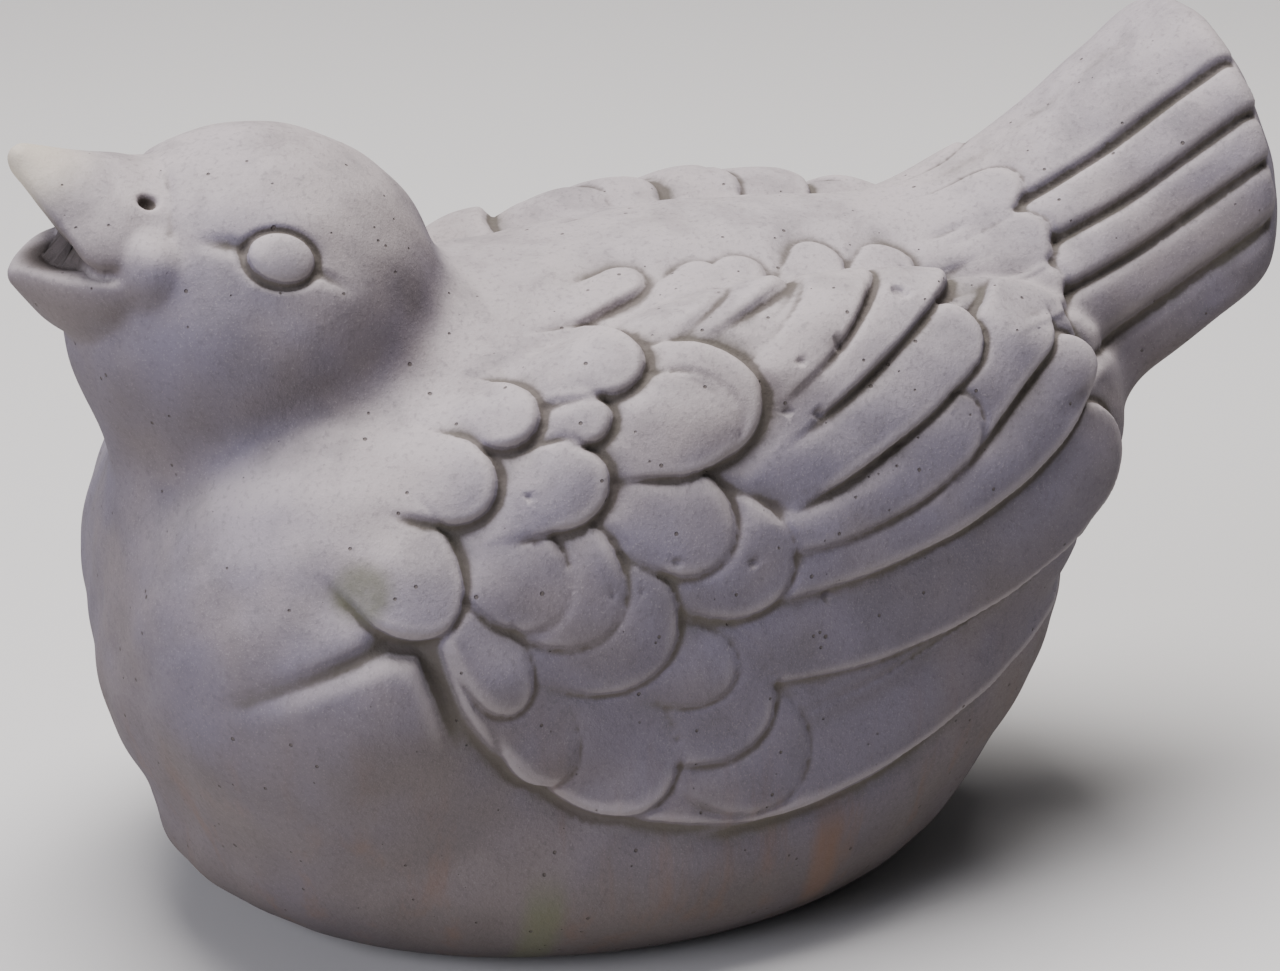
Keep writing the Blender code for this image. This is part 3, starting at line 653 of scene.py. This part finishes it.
def place(egg_sizes, side):
    # matrix that turns a unit sphere into the egg, on the left or mirrored to the right
    at = Vector(egg_sizes["at"])
    half = egg_sizes["half"]
    r = Matrix(turn(egg_sizes.get("pitch", 0), egg_sizes.get("yaw", 0)).tolist()).to_4x4()
    size = Matrix.Diagonal((half[0], half[1], half[2], 1))
    mirror = Matrix.Diagonal((side, 1, 1, 1))
    return mirror @ Matrix.Translation(at) @ r @ size


def add_ball(bm, matrix):
    bmesh.ops.create_uvsphere(bm, u_segments=40, v_segments=20, radius=1.0, matrix=matrix)


def add_horn(bm, start, end, radii, wide):
    a = Vector(start)
    b = Vector(end)
    axis = b - a
    turn_to = axis.to_track_quat("Z", "Y").to_matrix().to_4x4()
    flat = Matrix.Diagonal((wide, 1, 1, 1))
    middle = flat @ Matrix.Translation((a + b) / 2) @ turn_to
    bmesh.ops.create_cone(bm, cap_ends=True, segments=32, radius1=radii[0], radius2=radii[1],
                          depth=axis.length, matrix=middle)
    for at, radius in ((a, radii[0]), (b, radii[1])):
        add_ball(bm, flat @ Matrix.Translation(at) @ Matrix.Scale(radius, 4))


def add_tail(bm):
    # overlapping eggs that fill the arch of the tail
    back = Matrix(turn(TAIL_PITCH, 0).tolist()).to_4x4()
    for x, n, half_width, half_depth in TAIL_CORES:
        local = Matrix.Translation((x, 0, n))
        size = Matrix.Diagonal((half_width, TAIL_LENGTH, half_depth, 1))
        add_ball(bm, Matrix.Translation(TAIL_ROOT) @ back @ local @ size)


def add_cut_horn(bm, start, end, radii, wide, cuts):
    # a flattened horn, cut off flat and closed along each plane
    part = bmesh.new()
    add_horn(part, start, end, radii, wide)
    for at, face in cuts:
        geometry = part.verts[:] + part.edges[:] + part.faces[:]
        bmesh.ops.bisect_plane(part, geom=geometry, plane_co=at, plane_no=face, clear_outer=True)
        rim = [edge for edge in part.edges if edge.is_boundary]
        bmesh.ops.holes_fill(part, edges=rim, sides=0)
    mesh = bpy.data.meshes.new("cut")
    part.to_mesh(mesh)
    part.free()
    bm.from_mesh(mesh)
    bpy.data.meshes.remove(mesh)


def rough_body(name):
    bm = bmesh.new()
    for sizes in (BELLY, FOOT, NAPE, BACK, RUMP, HEAD):
        add_ball(bm, place(sizes, 1))
    for sizes in (BREAST_LOBE, WING, GAPE):
        for side in (1, -1):
            add_ball(bm, place(sizes, side))
    add_horn(bm, THROAT_TOP, THROAT_FOOT, THROAT_RADII, 1)
    under = [-value for value in UPPER_CUT_FACE]
    upper_cuts = ((UPPER_CUT_AT, under), ((0, 0, UPPER_FOOT), (0, 0, -1)))
    add_cut_horn(bm, UPPER_ROOT, UPPER_TIP, UPPER_RADII, sum(UPPER_WIDE) / 2, upper_cuts)
    lower_cuts = ((LOWER_RIM_AT, LOWER_RIM_FACE),)
    add_cut_horn(bm, LOWER_ROOT, LOWER_TIP, LOWER_RADII, sum(LOWER_WIDE) / 2, lower_cuts)
    add_tail(bm)
    bmesh.ops.scale(bm, vec=(MM, MM, MM), verts=bm.verts)
    mesh = bpy.data.meshes.new(name)
    bm.to_mesh(mesh)
    bm.free()
    return mesh


def mesh_links(obj):
    # both ends of every edge, and how many edges meet at each point
    links = np.empty(len(obj.data.edges) * 2, int)
    obj.data.edges.foreach_get("vertices", links)
    links = links.reshape(-1, 2)
    here = np.concatenate([links[:, 0], links[:, 1]])
    there = np.concatenate([links[:, 1], links[:, 0]])
    return here, there, np.bincount(here, minlength=len(obj.data.vertices))


def soften(values, links, amount):
    # move each value towards the mean of its neighbours
    here, there, share = links
    near = np.bincount(here, weights=values[there], minlength=len(values)) / share
    return values + amount * (near - values)


def settle(obj, rounds):
    # ease the remeshed points onto the form, keeping them evenly spread
    points = np.empty(len(obj.data.vertices) * 3)
    obj.data.vertices.foreach_get("co", points)
    points = points.reshape(-1, 3) / MM
    links = mesh_links(obj)
    for step in range(rounds):
        n = outward(points)
        points = points - n * np.clip(solid(points), -EASE_STEP, EASE_STEP)[:, None]
        if step < rounds - 2:
            drift = np.stack([soften(points[:, k], links, 1) for k in range(3)], -1) - points
            points = points + SPREAD_SHARE * (drift - n * (drift * n).sum(-1, keepdims=True))
    return points


def move_points(obj, points):
    obj.data.vertices.foreach_set("co", (points * MM).ravel())
    obj.data.update()


def apply_modifier(obj):
    shown = obj.evaluated_get(bpy.context.evaluated_depsgraph_get())
    done = bpy.data.meshes.new_from_object(shown)
    obj.modifiers.clear()
    obj.data = done


def remesh(obj, size):
    voxels = obj.modifiers.new("join", "REMESH")
    voxels.mode = "VOXEL"
    voxels.voxel_size = size * MM
    apply_modifier(obj)


def reduce(obj, triangles):
    faces = sum(len(f.vertices) - 2 for f in obj.data.polygons)
    collapse = obj.modifiers.new("reduce", "DECIMATE")
    collapse.decimate_type = "COLLAPSE"
    collapse.ratio = min(1.0, triangles / faces)
    collapse.use_collapse_triangulate = True
    apply_modifier(obj)


def bubble_pits(points):
    u, v = wing_chart(points)
    height = np.zeros(len(points))
    on_wing = points[:, 0] > BUBBLE_SIDE
    for aft, up, radius in BUBBLES:
        d = np.hypot(u - aft, v - up) / radius
        pit = radius * BUBBLE_DEPTH * np.sqrt(np.clip(1 - d * d, 0, 1))
        height = height - pit * on_wing
    return height


def surface_grain(points):
    # slow unevenness of a hand-filled mould
    height = np.zeros(len(points))
    for wave, start in GRAIN_WAVES:
        height = height + GRAIN_HEIGHT * np.sin(points @ np.array(wave) + start)
    return height


def mark_depth(obj, height, links):
    # how far each point lies below the carving round it, in millimetres
    for name, rounds in DEPTH_MARKS:
        level = height
        for _ in range(rounds):
            level = soften(level, links, 0.5)
        mark = obj.data.attributes.new(name, "FLOAT", "POINT")
        mark.data.foreach_set("value", level - height)


def carve_surface(obj, points):
    height = relief(points) * ramp(points[:, 2], *GROUND_FADE)
    height = height + surface_grain(points) * ramp(points[:, 2], *GRAIN_FADE)
    links = mesh_links(obj)
    for _ in range(CARVE_SOFTEN):
        height = soften(height, links, 0.5)
    mark_depth(obj, height, links)
    height = height + bubble_pits(points)
    points = points + outward(points) * height[:, None]
    points[:, 2] = np.where(points[:, 2] < GROUND_SNAP, 0.0, points[:, 2])
    move_points(obj, points)


class Nodes:
    # short ways to add and join the nodes of one material
    def __init__(self, material):
        self.tree = material.node_tree

    def add(self, kind, **values):
        node = self.tree.nodes.new(kind)
        for name, value in values.items():
            setattr(node, name, value)
        return node

    def join(self, source, target):
        self.tree.links.new(source, target)

    def noise(self, vector, scale, detail, rough, distort):
        node = self.add("ShaderNodeTexNoise")
        node.inputs["Scale"].default_value = scale
        node.inputs["Detail"].default_value = detail
        node.inputs["Roughness"].default_value = rough
        node.inputs["Distortion"].default_value = distort
        self.join(vector, node.inputs["Vector"])
        return node.outputs["Fac"]

    def range(self, value, low, high, to_low=0.0, to_high=1.0):
        node = self.add("ShaderNodeMapRange", interpolation_type="SMOOTHSTEP")
        node.inputs["From Min"].default_value = low
        node.inputs["From Max"].default_value = high
        node.inputs["To Min"].default_value = to_low
        node.inputs["To Max"].default_value = to_high
        self.join(value, node.inputs["Value"])
        return node.outputs["Result"]

    def math(self, kind, a, b):
        node = self.add("ShaderNodeMath", operation=kind)
        for value, slot in ((a, node.inputs[0]), (b, node.inputs[1])):
            if isinstance(value, (int, float)):
                slot.default_value = value
            else:
                self.join(value, slot)
        return node.outputs[0]

    def times(self, a, b):
        return self.math("MULTIPLY", a, b)

    def mix(self, share, a, b):
        node = self.add("ShaderNodeMix", data_type="RGBA")
        self.join(share, node.inputs["Factor"])
        for name, value in (("A", a), ("B", b)):
            slot = [s for s in node.inputs if s.name == name and s.type == "RGBA"][0]
            if isinstance(value, tuple):
                slot.default_value = value
            else:
                self.join(value, slot)
        return [out for out in node.outputs if out.type == "RGBA"][0]

    def layer(self, under, guide, span, over):
        # one colour over another, as strong as its guide says
        low, high, strength = span
        return self.mix(self.times(self.range(guide, low, high), strength), under, over)

    def attribute(self, name):
        return self.add("ShaderNodeAttribute", attribute_name=name).outputs["Fac"]

    def split(self, vector):
        node = self.add("ShaderNodeSeparateXYZ")
        self.join(vector, node.inputs[0])
        return node.outputs

    def stretched(self, vector, scale):
        node = self.add("ShaderNodeMapping")
        node.inputs["Scale"].default_value = scale
        self.join(vector, node.inputs["Vector"])
        return node.outputs["Vector"]

    def near(self, vector, point, radius, soft):
        node = self.add("ShaderNodeVectorMath", operation="DISTANCE")
        self.join(vector, node.inputs[0])
        node.inputs[1].default_value = point
        return self.range(node.outputs["Value"], radius + soft, radius)

    def pits(self, vector, scale, size):
        # round pits of mixed sizes, one for some of the cells
        node = self.add("ShaderNodeTexVoronoi", feature="F1")
        node.inputs["Scale"].default_value = scale
        self.join(vector, node.inputs["Vector"])
        parts = self.add("ShaderNodeSeparateColor")
        self.join(node.outputs["Color"], parts.inputs["Color"])
        radius = self.range(parts.outputs["Red"], PINHOLE_CELLS, 1.0, 0.0, size)
        gap = self.math("SUBTRACT", radius, node.outputs["Distance"])
        return self.range(gap, 0.0, size * PINHOLE_SLOPE)


def surface_guides(n):
    # what the layers follow: place, facing, depth of the carving, noises and pinholes
    where = n.add("ShaderNodeTexCoord").outputs["Object"]
    facing = n.split(n.add("ShaderNodeNewGeometry").outputs["Normal"])
    place = n.split(where)
    guides = dict(where=where, facing=facing["Z"], x=place["X"], y=place["Y"], z=place["Z"])
    guides["crease"] = n.attribute("crease")
    guides["hollow"] = n.attribute("hollow")
    guides["patches"] = n.noise(where, *PATCH_NOISE)
    guides["clouds"] = n.noise(where, *CLOUD_NOISE)
    guides["grain"] = n.noise(where, *GRAIN_NOISE)
    guides["sand"] = n.noise(where, *SAND_NOISE)
    guides["streaks"] = n.noise(n.stretched(where, STREAK_STRETCH), *STREAK_NOISE)
    small, medium = [n.pits(where, scale, size) for scale, size in PINHOLES]
    guides["pinholes"] = n.math("MAXIMUM", small, medium)
    return guides


def concrete_with_top_light(n, guides):
    colour = n.layer(LILAC, guides["patches"], WARM_PATCHES, WARM)
    # painted light: the upward-facing tops are made paler
    colour = n.layer(colour, guides["facing"], PAINTED_TOP_LIGHT, PALE)
    colour = n.layer(colour, guides["clouds"], DARK_CLOUDS, GRAIN)
    colour = n.layer(colour, guides["grain"], DARK_GRAINS, GRAIN)
    return n.layer(colour, guides["sand"], PALE_GRAINS, PALE)


def low_shade_and_rust(n, guides, colour):
    # painted shade on the undersides and towards the ground, rust streaks low down, and darker still
    # at the very foot
    low = n.range(guides["z"], LOW_PAINTED_SHADE[0], LOW_PAINTED_SHADE[1])
    under = n.range(guides["facing"], UNDERSIDE_PAINTED_SHADE[0], UNDERSIDE_PAINTED_SHADE[1])
    # painted shade: the stronger of the low and the underside darkening
    shade = n.math("MAXIMUM", n.times(low, LOW_PAINTED_SHADE[2]), n.times(under, UNDERSIDE_PAINTED_SHADE[2]))
    colour = n.mix(shade, colour, DIRT_AND_SHADE)
    rust = n.times(n.range(guides["streaks"], RUST_STREAKS[0], RUST_STREAKS[1]), low)
    colour = n.mix(n.times(rust, RUST_STREAKS[2]), colour, RUST)
    return n.layer(colour, guides["z"], FOOT_DARKENING, DIRT_AND_SHADE)


def carving_dirt_and_shade(n, guides, colour):
    # dirt and painted shade in the creases, moss and painted shade in the wider hollows, and worn
    # edges
    ragged = n.times(n.math("SUBTRACT", guides["clouds"], 0.5), CREASE_RAGGED)
    # dirt and painted shade: darker in the creases of the carving
    colour = n.layer(colour, n.math("ADD", guides["crease"], ragged), CREASE_DIRT_AND_SHADE, DIRT_AND_SHADE)
    # moss and painted shade: a dark green tint in the wider hollows, broken up by clouds
    hollow = n.range(guides["hollow"], MOSS_AND_SHADE_HOLLOWS[0], MOSS_AND_SHADE_HOLLOWS[1])
    hollow_moss_and_shade = n.times(hollow, n.range(guides["clouds"], *HOLLOW_CLOUDS))
    colour = n.mix(n.times(hollow_moss_and_shade, MOSS_AND_SHADE_HOLLOWS[2]), colour, MOSS)
    return n.layer(colour, guides["crease"], WORN_EDGES, PALE)


def stains_and_shade(n, guides, colour):
    near_side = n.range(guides["x"], *STREAK_SIDE)
    for aft, half, foot, top, stain in STREAKS:
        off = n.math("ABSOLUTE", n.math("SUBTRACT", guides["y"], aft), 0.0)
        ragged = n.math("ADD", off, n.times(guides["clouds"], half))
        band = n.range(ragged, half * STREAK_EDGES[0], half * STREAK_EDGES[1])
        above_foot = n.range(guides["z"], foot - STREAK_FOOT_FADE, foot + STREAK_FOOT_FADE)
        below_top = n.range(guides["z"], top, top - STREAK_TOP_FADE)
        mark = n.times(n.times(band, n.times(above_foot, below_top)), near_side)
        colour = n.mix(n.times(mark, STREAK_STRENGTH), colour, stain)
    moss = n.times(n.near(guides["where"], *MOSS_SPOT), guides["clouds"])
    colour = n.mix(moss, colour, MOSS)
    # painted shade inside the open mouth, and the cream tint at the beak's tip
    for middle, radius, soft, strength, stain in SPOTS_AND_MOUTH_SHADE:
        spot = n.near(guides["where"], middle, radius, soft)
        colour = n.mix(n.times(spot, strength), colour, stain)
    # dirt and painted shade in the pinholes
    return n.mix(n.times(guides["pinholes"], PINHOLE_DIRT_AND_SHADE), colour, DIRT_AND_SHADE)


def rough_bump(n, guides):
    height = n.times(guides["grain"], BUMP_GRAIN)
    height = n.math("ADD", height, n.times(guides["sand"], BUMP_SAND))
    height = n.math("ADD", height, n.times(guides["clouds"], BUMP_CLOUDS))
    height = n.math("SUBTRACT", height, n.times(guides["pinholes"], BUMP_PINHOLES))
    bump = n.add("ShaderNodeBump")
    bump.inputs["Strength"].default_value = BUMP_STRENGTH
    bump.inputs["Distance"].default_value = BUMP_DISTANCE
    n.join(height, bump.inputs["Height"])
    return bump.outputs["Normal"]


def concrete_surface():
    mat = bpy.data.materials.new("weathered_concrete_with_painted_light")
    mat.use_nodes = True
    surface = mat.node_tree.nodes["Principled BSDF"]
    n = Nodes(mat)
    guides = surface_guides(n)
    colour = concrete_with_top_light(n, guides)
    for paint in (low_shade_and_rust, carving_dirt_and_shade, stains_and_shade):
        colour = paint(n, guides, colour)
    n.join(colour, surface.inputs["Base Color"])
    n.join(n.range(guides["grain"], *ROUGHNESS), surface.inputs["Roughness"])
    surface.inputs["Specular IOR Level"].default_value = SPECULAR
    n.join(rough_bump(n, guides), surface.inputs["Normal"])
    return mat


def carved_bird():
    bird = bpy.data.objects.new("carved_bird", rough_body("carved_bird"))
    bpy.context.scene.collection.objects.link(bird)
    for size, rounds in zip(SURFACE_REMESH, SURFACE_ROUNDS):
        remesh(bird, size)
        points = settle(bird, rounds)
        move_points(bird, points)
    carve_surface(bird, points)
    reduce(bird, SURFACE_TRIANGLES)
    bird.data.materials.clear()
    bird.data.materials.append(concrete_surface())
    bird.data.shade_smooth()
    return bird


def floor():
    mesh = bpy.data.meshes.new("floor")
    bm = bmesh.new()
    bmesh.ops.create_grid(bm, x_segments=1, y_segments=1, size=FLOOR_HALF_SIDE)
    bm.to_mesh(mesh)
    bm.free()
    obj = bpy.data.objects.new("floor", mesh)
    bpy.context.scene.collection.objects.link(obj)
    mat = bpy.data.materials.new("pale_floor")
    mat.use_nodes = True
    surface = mat.node_tree.nodes["Principled BSDF"]
    surface.inputs["Base Color"].default_value = FLOOR_COLOUR
    surface.inputs["Roughness"].default_value = FLOOR_ROUGHNESS
    mesh.materials.append(mat)
    return obj


def area_light(name, at, size, power, colour):
    data = bpy.data.lights.new(name, "AREA")
    data.shape = "SQUARE"
    data.size = size
    data.energy = power
    data.color = colour
    obj = bpy.data.objects.new(name, data)
    obj.location = at
    obj.rotation_euler = (Vector(LIGHT_AIM) - Vector(at)).to_track_quat("-Z", "Y").to_euler()
    bpy.context.scene.collection.objects.link(obj)


def studio():
    world = bpy.data.worlds.new("studio")
    world.use_nodes = True
    back = world.node_tree.nodes["Background"]
    back.inputs["Color"].default_value = SKY_COLOUR
    back.inputs["Strength"].default_value = SKY_STRENGTH
    bpy.context.scene.world = world
    for light in LIGHTS:
        area_light(*light)


def camera():
    a = np.radians(VIEW_TURN)
    e = np.radians(VIEW_TILT)
    back = np.array([np.sin(a) * np.cos(e), -np.cos(a) * np.cos(e), np.sin(e)])
    data = bpy.data.cameras.new("camera")
    data.sensor_fit = "HORIZONTAL"
    data.sensor_width = SENSOR
    data.lens = FOCAL_PIXELS / PICTURE_WIDTH * SENSOR
    obj = bpy.data.objects.new("camera", data)
    obj.location = np.array(VIEW_AT) + VIEW_FAR * back
    obj.rotation_euler = Vector(-back).to_track_quat("-Z", "Y").to_euler()
    bpy.context.scene.collection.objects.link(obj)
    bpy.context.scene.camera = obj


def dress():
    camera()
    bird = carved_bird()
    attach(bird, "root")
    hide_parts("bird")
    floor()
    studio()


dress()
